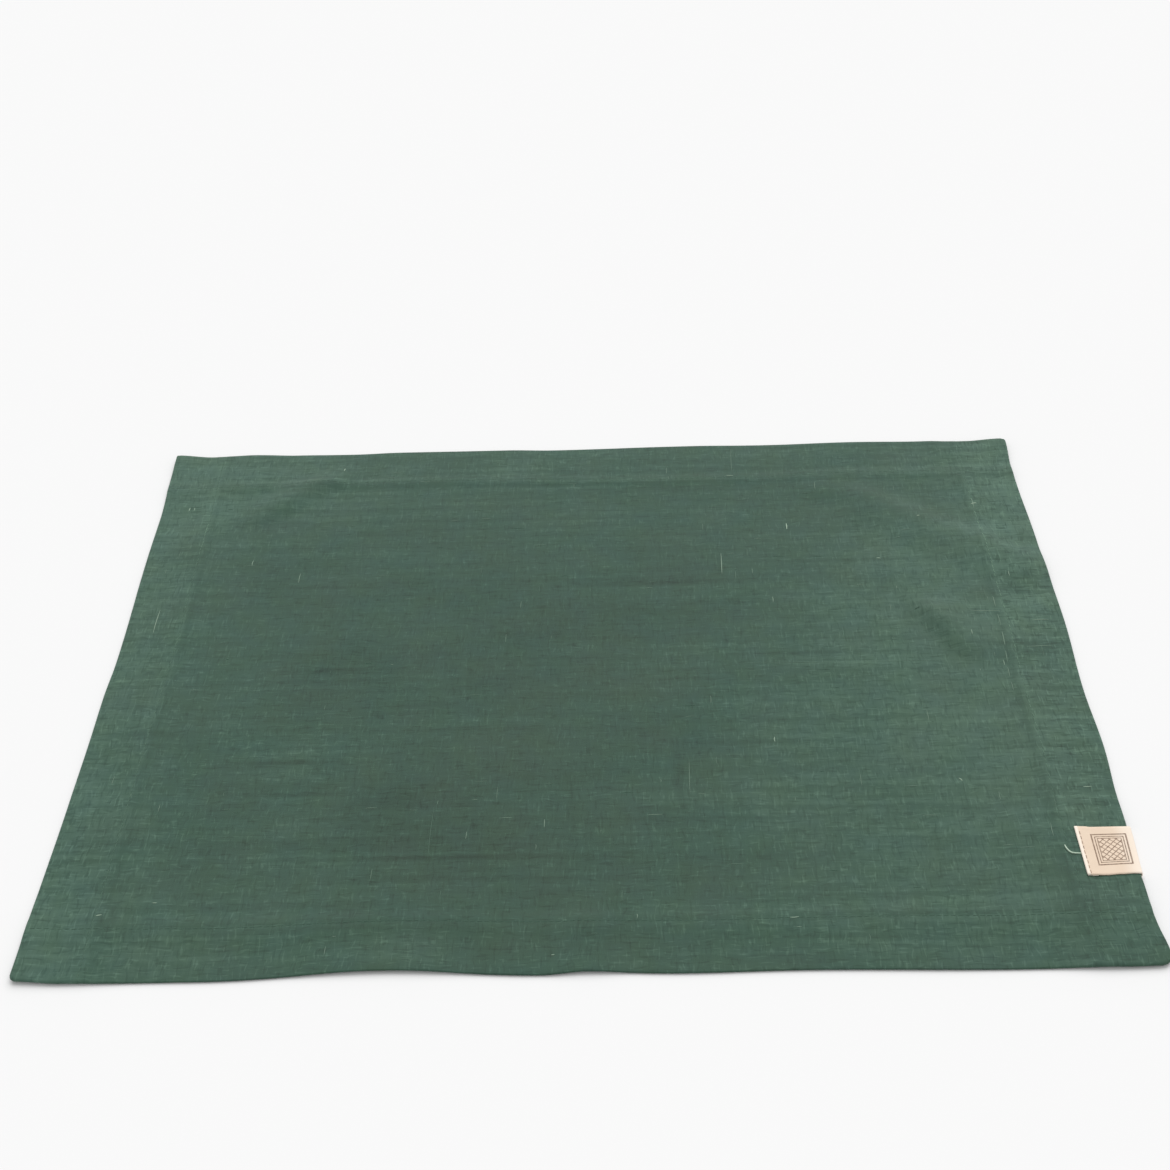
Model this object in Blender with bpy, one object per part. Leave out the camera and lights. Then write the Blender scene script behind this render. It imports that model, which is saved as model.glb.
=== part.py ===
"""A woven linen placemat lying flat on a table, with a ribbon label folded over its right-hand edge.

The mat is one sheet of cloth. Its four sides are turned under into a hem, which makes a thicker band
round the field. X runs along the long side, Y away from the person at the table, and Z is up, with
the table's surface at z = 0. Sizes are in metres, and tables of small offsets are in millimetres.
"""

import math
from collections import namedtuple

import bmesh
import bpy

MM = 0.001

# The mat's finished size, before the slight waviness of its edges.
MAT_WIDTH = 0.450
MAT_DEPTH = 0.350

# Thicknesses: one layer of cloth in the field, and three pressed layers in the hem.
FIELD_THICKNESS = 0.0010
HEM_THICKNESS = 0.0018
HEM_FOLD = 0.0270  # from the mat's edge to where the hem starts to step down
HEM_STEP = 0.0030  # over which it steps down to the field
EDGE_ROUNDING = 0.0012  # the turned edge is rounded off over this much
EDGE_DROP = 0.0005

# The waves of the edges die out this far in from each side.
WAVE_REACH = 0.060

# The grid: lines close to each edge follow the hem, and the field is divided evenly.
RIM_LINES = (0.0, EDGE_ROUNDING, 0.004, 0.008, 0.017, HEM_FOLD, HEM_FOLD + HEM_STEP, 0.040)
FIELD_SPACING = 0.0095
LINE_CLEARANCE = 0.0008  # a line closer than this to one that the label needs is left out

# The label: a folded length of 26 mm ribbon, whose two ends are sewn above and below the hem.
LABEL_CENTRE_Y = -0.1189
LABEL_WIDTH = 0.0260
LABEL_END_X = 0.2022
LABEL_THICKNESS = 0.0010
PIECE_GAP = 0.0003
BEND_STEPS = 8

# Under the label the mat is lifted by the ribbon's lower leg, and its edge is pulled in.
LABEL_LIFT = LABEL_THICKNESS + PIECE_GAP
LABEL_PULL = LABEL_THICKNESS + PIECE_GAP
PULL_MARGIN = 0.0004
PULL_FADE = 0.0020

# Where an edge bulges or draws in: place along the edge, and how far out, both in millimetres.
Wave = namedtuple("Wave", "along out")
FAR_EDGE = (
    Wave(-225, 0.6), Wave(-204, -0.6), Wave(-182, 1.1), Wave(-160, -0.1), Wave(-129, -0.5), Wave(-103, 0.5),
    Wave(-45, 0.4), Wave(-20, -0.6), Wave(56, 0.4), Wave(94, -0.3), Wave(144, 0.8), Wave(180, 0.1),
    Wave(202, -1.5), Wave(222, -0.8),
)
NEAR_EDGE = (
    Wave(-225, 0.5), Wave(-204, 1.6), Wave(-152, 1.4), Wave(-79, -2.2), Wave(-17, 0.5), Wave(1, -0.5),
    Wave(38, 0.5), Wave(85, -0.2), Wave(165, 0.9), Wave(188, 0.8), Wave(208, 0.9), Wave(222, 0.6),
)
LEFT_EDGE = (
    Wave(-172, 0.5), Wave(-150, 0.6), Wave(-80, -0.2), Wave(-45, -0.4), Wave(-15, -0.2), Wave(9, -0.9),
    Wave(98, 0.6), Wave(119, 0.5), Wave(168, 1.9),
)
RIGHT_EDGE = (
    Wave(-170, 1.1), Wave(-150, -1.1), Wave(-93, -0.5), Wave(-57, 0.9), Wave(-23, -0.1), Wave(26, 1.3),
    Wave(85, 0.3), Wave(149, -1.1), Wave(172, -0.1),
)

# How blunt each corner is: the radius of its rounding.
CORNER_RADIUS = {
    (-1, -1): 0.0026,
    (1, -1): 0.0050,
    (-1, 1): 0.0015,
    (1, 1): 0.0030,
}

# Where the cloth stands off the table, in millimetres: the middle of each fold, how far its level
# top reaches along and across it, its turn in degrees, how far it fades beyond that along it and
# across it to its left and right, as seen along its turn, and its height.
Fold = namedtuple("Fold", "x y flat_along flat_across turn fade_along fade_left fade_right height")
FOLDS = (
    # The long soft ridge across the far right-hand corner, and the low rise where it starts.
    Fold(181, 94.5, flat_along=41, flat_across=0, turn=-37, fade_along=26,
         fade_left=17, fade_right=27, height=2.5),
    Fold(130, 130, flat_along=8, flat_across=0, turn=-12, fade_along=20,
         fade_left=16, fade_right=10, height=0.8),
    # The short buckle beside the right-hand hem, steep on its near side, and its sharper crest.
    Fold(169, 21.5, flat_along=8, flat_across=0, turn=-61, fade_along=26,
         fade_left=28, fade_right=6.5, height=2.9),
    Fold(164.5, 29, flat_along=3, flat_across=0, turn=-61, fade_along=12,
         fade_left=14, fade_right=6, height=1.2),
    # The soft ridge across the far left-hand corner, and the low one beside it.
    Fold(-155, 135.5, flat_along=17, flat_across=0, turn=41, fade_along=24,
         fade_left=17, fade_right=11, height=1.9),
    Fold(-86, 124, flat_along=12, flat_across=0, turn=-6, fade_along=30,
         fade_left=12, fade_right=20, height=0.7),
    # The mat over the label's lower leg.
    Fold(225, LABEL_CENTRE_Y / MM, flat_along=31, flat_across=16, turn=0, fade_along=34, fade_left=26,
         fade_right=26, height=LABEL_LIFT / MM),
    # The four corners, which do not lie quite flat.
    Fold(225, -175, flat_along=0, flat_across=0, turn=0, fade_along=58,
         fade_left=41, fade_right=41, height=0.45),
    Fold(-227, 177, flat_along=0, flat_across=0, turn=0, fade_along=24,
         fade_left=22, fade_right=22, height=1.2),
    Fold(225, 176, flat_along=0, flat_across=0, turn=0, fade_along=26,
         fade_left=24, fade_right=24, height=1.1),
    Fold(-225, -176, flat_along=0, flat_across=0, turn=0, fade_along=30,
         fade_left=24, fade_right=24, height=0.7),
    # Two places where the near edge stands a little off the table.
    Fold(-80, -175, flat_along=8, flat_across=0, turn=0, fade_along=36,
         fade_left=22, fade_right=22, height=0.9),
    Fold(1, -175, flat_along=2, flat_across=0, turn=0, fade_along=18,
         fade_left=16, fade_right=16, height=0.8),
)

LINEN_GREEN = (0.078, 0.125, 0.096)
LINEN_ROUGHNESS = 0.85
RIBBON_CREAM = (0.82, 0.66, 0.53)
RIBBON_ROUGHNESS = 0.80


def ease(share):
    """Goes smoothly from 0 at share 0 to 1 at share 1, level at both ends."""
    share = min(max(share, 0.0), 1.0)
    return 0.5 - 0.5 * math.cos(math.pi * share)


def wave_at(waves, along):
    """How far out an edge stands at a place along it, eased from each crest or trough to the next."""
    place = along / MM
    if place <= waves[0].along:
        return waves[0].out * MM
    for before, after in zip(waves, waves[1:]):
        if place <= after.along:
            share = ease((place - before.along) / (after.along - before.along))
            return (before.out + share * (after.out - before.out)) * MM
    return waves[-1].out * MM


def label_pull(y):
    """How far the label's fold draws in the right-hand edge."""
    beyond = abs(y - LABEL_CENTRE_Y) - LABEL_WIDTH / 2 - PULL_MARGIN
    return LABEL_PULL * (1 - ease(beyond / PULL_FADE))


def right_edge_at(y):
    """How far out the right-hand edge stands, with its waves and the label's pull."""
    return wave_at(RIGHT_EDGE, y) - label_pull(y)


def lift_at(x, y):
    """The height of the cloth's underside above the table."""
    height = 0.0
    for fold in FOLDS:
        turn = math.radians(fold.turn)
        dx, dy = x / MM - fold.x, y / MM - fold.y
        along = abs(dx * math.cos(turn) + dy * math.sin(turn))
        across = dy * math.cos(turn) - dx * math.sin(turn)
        fade_across = fold.fade_left if across > 0 else fold.fade_right
        reach = math.hypot(
            max(along - fold.flat_along, 0) / fold.fade_along,
            max(abs(across) - fold.flat_across, 0) / fade_across,
        )
        height += fold.height * MM * (1 - ease(reach))
    return height


def rounded_corner(x, y):
    """Moves a point of a square corner onto the corner's rounding, square rings onto round ones."""
    radius = CORNER_RADIUS[(1 if x > 0 else -1, 1 if y > 0 else -1)]
    a = abs(x) - (MAT_WIDTH / 2 - radius)
    b = abs(y) - (MAT_DEPTH / 2 - radius)
    if a <= 0 or b <= 0:
        return x, y
    shrink = max(a, b) / math.hypot(a, b)
    return (
        math.copysign(MAT_WIDTH / 2 - radius + a * shrink, x),
        math.copysign(MAT_DEPTH / 2 - radius + b * shrink, y),
    )


def outline_at(x, y):
    """Where a point of the flat rectangle lies, with its edges waved and its corners rounded."""
    placed_x, placed_y = rounded_corner(x, y)
    to_right = ease(1 - (MAT_WIDTH / 2 - x) / WAVE_REACH)
    to_left = ease(1 - (MAT_WIDTH / 2 + x) / WAVE_REACH)
    to_far = ease(1 - (MAT_DEPTH / 2 - y) / WAVE_REACH)
    to_near = ease(1 - (MAT_DEPTH / 2 + y) / WAVE_REACH)
    placed_x += to_right * right_edge_at(y) - to_left * wave_at(LEFT_EDGE, y)
    placed_y += to_far * wave_at(FAR_EDGE, x) - to_near * wave_at(NEAR_EDGE, x)
    return placed_x, placed_y


def section_at(inwards):
    """The underside and top of the cloth at a distance in from its edge, above where it lies."""
    rounding = EDGE_DROP * (1 - min(inwards / EDGE_ROUNDING, 1.0))
    step = ease((inwards - HEM_FOLD) / HEM_STEP)
    top = HEM_THICKNESS + step * (FIELD_THICKNESS - HEM_THICKNESS)
    return rounding, top - rounding


def grid_lines(size, extra=()):
    """Places of the grid's lines across a side: close together in the hem, even in the field."""
    half = size / 2
    field = half - RIM_LINES[-1]
    count = math.ceil(2 * field / FIELD_SPACING)
    lines = [-half + rim for rim in RIM_LINES]
    lines += [-field + 2 * field * step / count for step in range(1, count)]
    lines += [half - rim for rim in reversed(RIM_LINES)]
    for line in extra:
        lines = [kept for kept in lines if abs(kept - line) > LINE_CLEARANCE]
    return sorted(lines + list(extra))


def mat_mesh():
    """One closed sheet: a top and an underside on the same grid, joined round the rim."""
    pull_ends = [
        LABEL_CENTRE_Y + side * (LABEL_WIDTH / 2 + PULL_MARGIN + fade)
        for side in (-1, 1)
        for fade in (0, PULL_FADE)
    ]
    columns = grid_lines(MAT_WIDTH)
    rows = grid_lines(MAT_DEPTH, extra=pull_ends)
    shape = bmesh.new()
    under, over = [], []
    for y in rows:
        under.append([])
        over.append([])
        for x in columns:
            inwards = min(MAT_WIDTH / 2 - abs(x), MAT_DEPTH / 2 - abs(y))
            low, high = section_at(max(inwards, 0.0))
            placed_x, placed_y = outline_at(x, y)
            lift = lift_at(x, y)
            under[-1].append(shape.verts.new((placed_x, placed_y, lift + low)))
            over[-1].append(shape.verts.new((placed_x, placed_y, lift + high)))
    for j in range(len(rows) - 1):
        for i in range(len(columns) - 1):
            shape.faces.new((over[j][i], over[j][i + 1], over[j + 1][i + 1], over[j + 1][i]))
            shape.faces.new((under[j][i], under[j + 1][i], under[j + 1][i + 1], under[j][i + 1]))
    last_row, last_column = len(rows) - 1, len(columns) - 1
    rim = [(0, i) for i in range(last_column)]
    rim += [(j, last_column) for j in range(last_row)]
    rim += [(last_row, i) for i in range(last_column, 0, -1)]
    rim += [(j, 0) for j in range(last_row, 0, -1)]
    for (j, i), (next_j, next_i) in zip(rim, rim[1:] + rim[:1]):
        shape.faces.new((under[j][i], under[next_j][next_i], over[next_j][next_i], over[j][i]))
    return shape


def bend(centre_x, centre_z, radius):
    """Points of the ribbon's fold, from its lower leg round to its upper leg."""
    turns = [math.pi * (step / BEND_STEPS - 0.5) for step in range(BEND_STEPS + 1)]
    return [(centre_x + radius * math.cos(turn), centre_z + radius * math.sin(turn)) for turn in turns]


def label_mesh():
    """The ribbon's side view, a lying U round the mat's edge, carried across its width."""
    mat_edge = MAT_WIDTH / 2 + right_edge_at(LABEL_CENTRE_Y)
    inner_radius = HEM_THICKNESS / 2 + PIECE_GAP
    centre_x = mat_edge + PIECE_GAP - inner_radius
    centre_z = LABEL_LIFT + HEM_THICKNESS / 2
    outer = bend(centre_x, centre_z, inner_radius + LABEL_THICKNESS)
    inner = bend(centre_x, centre_z, inner_radius)
    outer = [(LABEL_END_X, outer[0][1])] + outer + [(LABEL_END_X, outer[-1][1])]
    inner = [(LABEL_END_X, inner[0][1])] + inner + [(LABEL_END_X, inner[-1][1])]
    near, far = LABEL_CENTRE_Y - LABEL_WIDTH / 2, LABEL_CENTRE_Y + LABEL_WIDTH / 2
    shape = bmesh.new()
    rings = []
    for (out_x, out_z), (in_x, in_z) in zip(outer, inner):
        rings.append([
            shape.verts.new((out_x, near, out_z)),
            shape.verts.new((out_x, far, out_z)),
            shape.verts.new((in_x, far, in_z)),
            shape.verts.new((in_x, near, in_z)),
        ])
    for ring, following in zip(rings, rings[1:]):
        for side in range(4):
            after = (side + 1) % 4
            shape.faces.new((ring[side], following[side], following[after], ring[after]))
    shape.faces.new(rings[0])
    shape.faces.new(list(reversed(rings[-1])))
    return shape


def cloth_material(name, colour, roughness):
    """A matt dyed cloth."""
    material = bpy.data.materials.new(name)
    material.use_nodes = True
    shader = material.node_tree.nodes["Principled BSDF"]
    shader.inputs["Base Color"].default_value = (*colour, 1.0)
    shader.inputs["Roughness"].default_value = roughness
    shader.inputs["Metallic"].default_value = 0.0
    return material


def add_piece(name, shape, shift, material):
    """Makes the named object, with the whole model's middle brought to x = y = 0."""
    bmesh.ops.translate(shape, verts=shape.verts, vec=shift)
    bmesh.ops.recalc_face_normals(shape, faces=shape.faces)
    mesh = bpy.data.meshes.new(name)
    shape.to_mesh(mesh)
    shape.free()
    mesh.materials.append(material)
    bpy.context.scene.collection.objects.link(bpy.data.objects.new(name, mesh))


def middle_shift(shapes):
    """The move along x and y that centres the pieces' common box."""
    points = [vertex.co for shape in shapes for vertex in shape.verts]
    middle = [(min(p[k] for p in points) + max(p[k] for p in points)) / 2 for k in (0, 1)]
    return (-middle[0], -middle[1], 0.0)


def main():
    for thing in list(bpy.data.objects):
        bpy.data.objects.remove(thing, do_unlink=True)
    mat = mat_mesh()
    label = label_mesh()
    shift = middle_shift((mat, label))
    add_piece("mat", mat, shift, cloth_material("woven_linen", LINEN_GREEN, LINEN_ROUGHNESS))
    add_piece("label", label, shift, cloth_material("twill_ribbon", RIBBON_CREAM, RIBBON_ROUGHNESS))


main()
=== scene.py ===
# A dark green linen placemat lying on a pale table, with a ribbon label folded over its right-hand edge.
# X runs along the long side, Y away from the person at the table and Z up. Shapes are worked out in
# millimetres on the mat's own middle, and put into the meshes in metres, where the solids stand.
from functools import partial

import bpy
import numpy as np
from mathutils import Euler, Matrix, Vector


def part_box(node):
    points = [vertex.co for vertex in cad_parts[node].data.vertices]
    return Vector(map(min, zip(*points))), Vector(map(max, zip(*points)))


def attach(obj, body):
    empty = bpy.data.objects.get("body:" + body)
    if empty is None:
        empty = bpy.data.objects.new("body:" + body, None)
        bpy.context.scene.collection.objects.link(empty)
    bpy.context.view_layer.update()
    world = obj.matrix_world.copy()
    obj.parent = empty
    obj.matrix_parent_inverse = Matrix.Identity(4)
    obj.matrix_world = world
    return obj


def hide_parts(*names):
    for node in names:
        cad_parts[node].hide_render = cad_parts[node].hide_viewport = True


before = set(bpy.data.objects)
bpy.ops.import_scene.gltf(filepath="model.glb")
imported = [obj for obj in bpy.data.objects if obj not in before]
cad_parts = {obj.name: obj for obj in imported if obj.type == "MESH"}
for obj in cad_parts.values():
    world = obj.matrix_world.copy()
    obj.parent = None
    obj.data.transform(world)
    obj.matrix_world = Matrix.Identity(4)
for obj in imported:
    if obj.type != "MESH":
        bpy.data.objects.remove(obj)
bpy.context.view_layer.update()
metre = 1000.0  # millimetres


def rowsOf(columns, *rows):
    # a table's rows, each as a dictionary with the names of its columns
    return [dict(zip(columns.split(), row)) for row in rows]


def valuesOf(rows, columns):
    # some of a table's columns, each as one row of an array
    return np.array([[row[column] for row in rows] for column in columns.split()], float)


def ease(share):
    # goes smoothly from 0 to 1, level at both ends: half a cosine wave
    return 0.5 - 0.5 * np.cos(np.pi * np.clip(share, 0.0, 1.0))


def bell(away, width):
    # 1 in the middle, falling off to both sides: e to the power of minus the square of away over width
    return np.exp(-((away / width) ** 2))


def linearColour(hexColour):
    # an sRGB hex colour, such as "#4f6558", as linear red, green, blue and alpha
    shares = [int(hexColour[k : k + 2], 16) / 255 for k in (1, 3, 5)]
    return tuple(s / 12.92 if s <= 0.04045 else ((s + 0.055) / 1.055) ** 2.4 for s in shares) + (1.0,)


noiseCells = 64


def smoothNoise(x, y, pitch, seed):
    # random heights from -1 to 1 on a square grid, blended smoothly between its corners
    heights = np.random.default_rng(seed).uniform(-1, 1, (noiseCells, noiseCells))
    x, y = np.asarray(x) / pitch + noiseCells / 2, np.asarray(y) / pitch + noiseCells / 2
    column, row = np.floor(x).astype(int), np.floor(y).astype(int)
    toRight, toFar = ease(x - column), ease(y - row)
    column, row = np.clip(column, 0, noiseCells - 2), np.clip(row, 0, noiseCells - 2)
    near = heights[row, column] * (1 - toRight) + heights[row, column + 1] * toRight
    far = heights[row + 1, column] * (1 - toRight) + heights[row + 1, column + 1] * toRight
    return near * (1 - toFar) + far * toFar


# camera: where the photograph was taken from, against the middle of the mat
cameraPlan = {
    "place": (20.01, -578.8, 534.87),
    "pitch": 39.908,  # degrees down from level
    "yaw": 1.966,  # degrees to the left of straight ahead
    "roll": -2.436,
    "lens": 51.85,
    "sensor": 36.0,
}

labelPlan = {
    "centreY": -118.9,
    "width": 26.0,
    "endX": 202.2,  # the sewn end, on the mat
    "thickness": 0.42,
    "turnedEnd": 4.5,  # of ribbon turned under at the sewn end
    "lowerEndX": 202.8,
    "lowerLift": 0.07,  # of the lower leg above the table
    "gap": 0.06,  # between the ribbon and the hem under it
    "edgeGap": (0.5, 1.2),  # past the mat's edge, at the ribbon's near and far side
    "nearRise": 1.0,  # how far its near side runs askew from the sewn end to the bend
    "bendReach": 1.1,  # from where the ribbon starts to bend to its outermost point
    "layerRise": 0.47,  # between the middles of the ribbon and its turned-under end
    "endStep": (0.5, 2.6),  # of the upper layer down off the turned-under end: from where, and its width
    "squareness": 0.8,  # of the bend: 1 would be an ellipse
    "selvedge": 0.12,  # how unevenly its long sides run
    "selvedgePitch": 6,
    "linesAcross": 27,
    "rows": {"end": 5, "turn": 9, "lower": 14, "bend": 15, "upper": 30},  # of points along each part
}

# the solids were centred on their common box, which moved the mat's middle by this much
labelLow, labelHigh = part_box("label")
middleX = labelLow.x * metre - labelPlan["endX"]
middleY = (labelLow.y + labelHigh.y) / 2 * metre - labelPlan["centreY"]

matPlan = {
    "width": 450.0,
    "depth": 350.0,
    "layer": 0.55,  # room that one layer of the linen takes
    "fill": 0.94,  # share of that room that its cloth fills
    "hem": 28.5,  # from the edge to the hem's inner fold
    "turnIn": 8.5,  # of raw edge turned inside the hem
    "turnInMore": {"far": -3.0, "near": 0.8, "left": 0.5, "right": 0.0},  # or less (-), by side
    "stitchInset": 2.2,  # from the hem's inner fold to its seam
    "squeeze": 0.30,  # how much the many layers of a corner press each other flat
    "base": 0.06,  # the cloth's lowest threads above the table
    "bend": 1.0,  # of cloth round each fold
    "fieldStep": 3.2,  # between the grid's lines in the field
    "waveReach": 60.0,  # how far in from an edge its bulges fade out
    "labelLift": 1.0,  # how much higher the edge lies on the label
    "labelPull": 0.2,  # how far the label draws the edge in
    "labelPullFade": (0.4, 2.0),  # beside the label: from where, and over how much
}
halfWidth, halfDepth = matPlan["width"] / 2, matPlan["depth"] / 2

# the face across a hem: how it steps up over the turned-in raw edge and down again past the inner fold
hemStep = {
    "rise": 7.0,
    "riseAhead": 2.6,  # how far outside the raw edge the rise starts
    "drop": 0.54,  # share of the height lost at the inner fold
    "dropReach": 6.6,
    "dropAhead": 1.6,
    "tail": 20.0,  # reach of the rest, a slow slope into the field
    "groove": 0.16,  # the seam's pinch, in layers
    "grooveWidth": 0.9,
}

# where an edge bulges (+) or draws in (-): place along the edge and how far out
farEdge = (
    (-225, 0.6), (-204, -0.6), (-182, 1.1), (-160, -0.1), (-129, -0.5), (-103, 0.5), (-45, 0.4),
    (-20, -0.6), (56, 0.4), (94, -0.3), (144, 0.8), (180, 0.1), (202, -1.5), (222, -0.8),
)
nearEdge = (
    (-225, 0.5), (-204, 1.6), (-152, 1.4), (-79, -2.2), (-17, 0.5), (1, -0.5), (38, 0.5),
    (85, -0.2), (165, 0.9), (188, 0.8), (208, 0.9), (222, 0.6),
)
leftEdge = (
    (-172, 0.5), (-150, 0.6), (-80, -0.2), (-45, -0.4), (-15, -0.2), (9, -0.9), (98, 0.6),
    (119, 0.5), (168, 1.9),
)
rightEdge = (
    (-170, 1.1), (-150, -1.1), (-93, -0.5), (-57, 0.9), (-23, -0.1), (26, 1.3), (85, 0.3),
    (149, -1.1), (172, -0.1),
)
# how much wider the hem runs than matPlan["hem"], along each edge
farHem = ((-200, 3.5), (-140, 1.0), (-84, 0.8), (-28, 1.6), (28, 4.0), (84, 3.6), (140, 1.6), (200, 2.5))
nearHem = ((-200, -1.0), (-140, -1.4), (-30, -1.0), (30, -1.6), (140, -1.0), (200, -1.4))
leftHem = ((-150, 0.4), (-66, 0.0), (22, 0.7), (65, 0.1), (150, 0.0))
rightHem = ((-150, -0.8), (-110, 0.5), (-22, 0.0), (65, 0.0), (108, 0.4), (152, 0.0))

# blunt corners: the radius of each one's rounding, by which way it lies
cornerRadius = {(-1, -1): 2.6, (1, -1): 5.0, (-1, 1): 1.5, (1, 1): 3.0}

# how the cloth cockles between its folds
cockles = rowsOf("pitch height seed", (34, 0.07, 3), (13, 0.03, 4))

# soft folds: middle, reach of the level top along and across, its turn in degrees, how far it fades along,
# and across towards its left-hand and right-hand side as seen along its turn, and its height
folds = rowsOf(
    "x y along across turn fadeAlong fadeLeft fadeRight height",
    (181, 94.5, 41, 0, -37, 26, 17, 27, 2.5),  # long ridge on the right
    (169, 21.5, 8, 0, -61, 26, 28, 6.5, 2.9),  # short buckle in front of it
    (164.5, 29, 3, 0, -61, 12, 14, 6, 1.2),  # the buckle's crest
    (-155, 135.5, 17, 0, 41, 24, 17, 11, 1.9),  # ridge by the far left corner
    (130, 130, 8, 0, -12, 20, 16, 10, 0.8),  # two low swells by the far hem
    (-86, 124, 12, 0, -6, 30, 12, 20, 0.7),
    (225, -175, 0, 0, 0, 58, 41, 41, 0.45),  # near right corner
    (225, -118.9, 31, 16, 0, 34, 26, 26, matPlan["labelLift"]),  # over the label
    (-227, 177, 0, 0, 0, 24, 22, 22, 1.2),  # the other three corners
    (225, 176, 0, 0, 0, 26, 24, 24, 1.1),
    (-225, -176, 0, 0, 0, 30, 24, 24, 0.7),
    (-80, -175, 8, 0, 0, 36, 22, 22, 0.9),  # two places where the near edge stands off the table
    (1, -175, 2, 0, 0, 18, 16, 16, 0.8),
)


def tableAt(table, along):
    # a table of places and values, eased from each row to the next
    places, values = np.array(table, float).T
    row = np.clip(np.searchsorted(places, along) - 1, 0, len(places) - 2)
    share = ease((along - places[row]) / (places[row + 1] - places[row]))
    return values[row] + share * (values[row + 1] - values[row])


def outlineAt(x, y):
    # from the flat rectangle to the mat as it lies: square corners onto rounded ones, ring by ring,
    # then each edge moved by its table, fading out inwards
    placedX, placedY = np.array(x, float), np.array(y, float)
    for (sideX, sideY), radius in cornerRadius.items():
        a, b = x * sideX - (halfWidth - radius), y * sideY - (halfDepth - radius)
        inCorner = (a > 0) & (b > 0)
        shrink = np.maximum(a, b) / np.maximum(np.hypot(a, b), 1e-9)
        placedX = np.where(inCorner, sideX * (halfWidth - radius + a * shrink), placedX)
        placedY = np.where(inCorner, sideY * (halfDepth - radius + b * shrink), placedY)
    beside, fade = matPlan["labelPullFade"]
    beyondLabel = np.abs(y - labelPlan["centreY"]) - labelPlan["width"] / 2 - beside
    pulled = matPlan["labelPull"] * (1 - ease(beyondLabel / fade))
    reach = matPlan["waveReach"]
    placedX = placedX + ease(1 - (halfWidth - x) / reach) * (tableAt(rightEdge, y) - pulled)
    placedX = placedX - ease(1 - (halfWidth + x) / reach) * tableAt(leftEdge, y)
    placedY = placedY + ease(1 - (halfDepth - y) / reach) * tableAt(farEdge, x)
    placedY = placedY - ease(1 - (halfDepth + y) / reach) * tableAt(nearEdge, x)
    return placedX, placedY


def turnedPlace(row, x, y):
    # places as seen from the middle of a table's row, along its turn and across it
    turn, dx, dy = np.radians(row["turn"]), x - row["x"], y - row["y"]
    return dx * np.cos(turn) + dy * np.sin(turn), dy * np.cos(turn) - dx * np.sin(turn)


def liftAt(x, y):
    # height of the cloth's underside: each soft fold is a hill with an oval fade, and the whole cloth
    # cockles a little between them
    height = matPlan["base"]
    for cockle in cockles:
        height = height + cockle["height"] * (1 + smoothNoise(x, y, cockle["pitch"], cockle["seed"]))
    for fold in folds:
        along, across = turnedPlace(fold, x, y)
        fadeAcross = np.where(across > 0, fold["fadeLeft"], fold["fadeRight"])
        pastAlong = np.maximum(np.abs(along) - fold["along"], 0) / fold["fadeAlong"]
        pastAcross = np.maximum(np.abs(across) - fold["across"], 0) / fadeAcross
        height = height + fold["height"] * (1 - ease(np.hypot(pastAlong, pastAcross)))
    return height


def turnedIn(right, left, positive):
    # the width of raw edge turned in, for the side that a place lies on
    more = matPlan["turnInMore"]
    return matPlan["turnIn"] + np.where(positive, more[right], more[left])


def wideShort(positive, y):
    # how much wider the right hem is, or the left one
    return np.where(positive, tableAt(rightHem, y), tableAt(leftHem, y))


def wideLong(positive, x):
    # how much wider the far hem is, or the near one
    return np.where(positive, tableAt(farHem, x), tableAt(nearHem, x))


def layersUnder(inwards, wider, turnIn):
    # how many layers lie under the face at a distance in from an edge: one in the hem's outer part,
    # two over the turned-in raw edge, then a quick drop off the inner fold and a slow tail to none;
    # the seam pinches a groove
    step, past = hemStep, inwards - (matPlan["hem"] + wider)
    layers = 1 + ease((past + turnIn + step["riseAhead"]) / step["rise"])
    layers = layers * (1 - step["drop"] * ease((past + step["dropAhead"]) / step["dropReach"]))
    layers = layers * (1 - ease(past / step["tail"]))
    return layers - step["groove"] * bell(past + matPlan["stitchInset"], step["grooveWidth"])


def hemLayers(x, y):
    # the layers that the two short hems add, and the two long ones, at a place on the flat rectangle
    short = layersUnder(halfWidth - np.abs(x), wideShort(x > 0, y), turnedIn("right", "left", x > 0))
    return short, layersUnder(halfDepth - np.abs(y), wideLong(y > 0, x), turnedIn("far", "near", y > 0))


# the face's grid lines over a hem, by their distance in from the edge: close where it steps down
hemLines = np.concatenate([[2.4, 4.5, 8, 12, 16, 18.5], np.arange(19.4, 37, 0.8)])


def clothLines(half):
    # the grid's lines across one direction, from one raw edge round both folds to the middle and on to
    # the other: zone 0 is the face, 1 the outer fold, 2 the hem's underside, 3 its inner fold and 4 the
    # turned-in raw edge. For the face a line has its place, for the folds its angle, else its share.
    field = half - hemLines[-1]
    count = int(np.ceil(2 * field / matPlan["fieldStep"]))
    middle = np.linspace(-field, field, count + 1)[1:-1]
    face = np.concatenate([-half + hemLines, middle, (half - hemLines)[::-1]])
    outer = np.radians(np.array([0, 30, 60, 90, 120, 150, 180]))
    under = np.arange(1, 9) / 9
    inner = np.radians(np.array([0, 45, 90, 135, 180]))
    turned = np.array([0.35, 0.7, 1.0])
    zone = np.repeat([1, 2, 3, 4], [len(outer), len(under), len(inner), len(turned)])
    value = np.concatenate([outer, under, inner, turned])
    return {
        "zone": np.concatenate([zone[::-1], np.zeros(len(face), int), zone]),
        "value": np.concatenate([value[::-1], face, value]),
        "side": np.concatenate([-np.ones(len(zone)), np.sign(face), np.ones(len(zone))]),
    }


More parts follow.
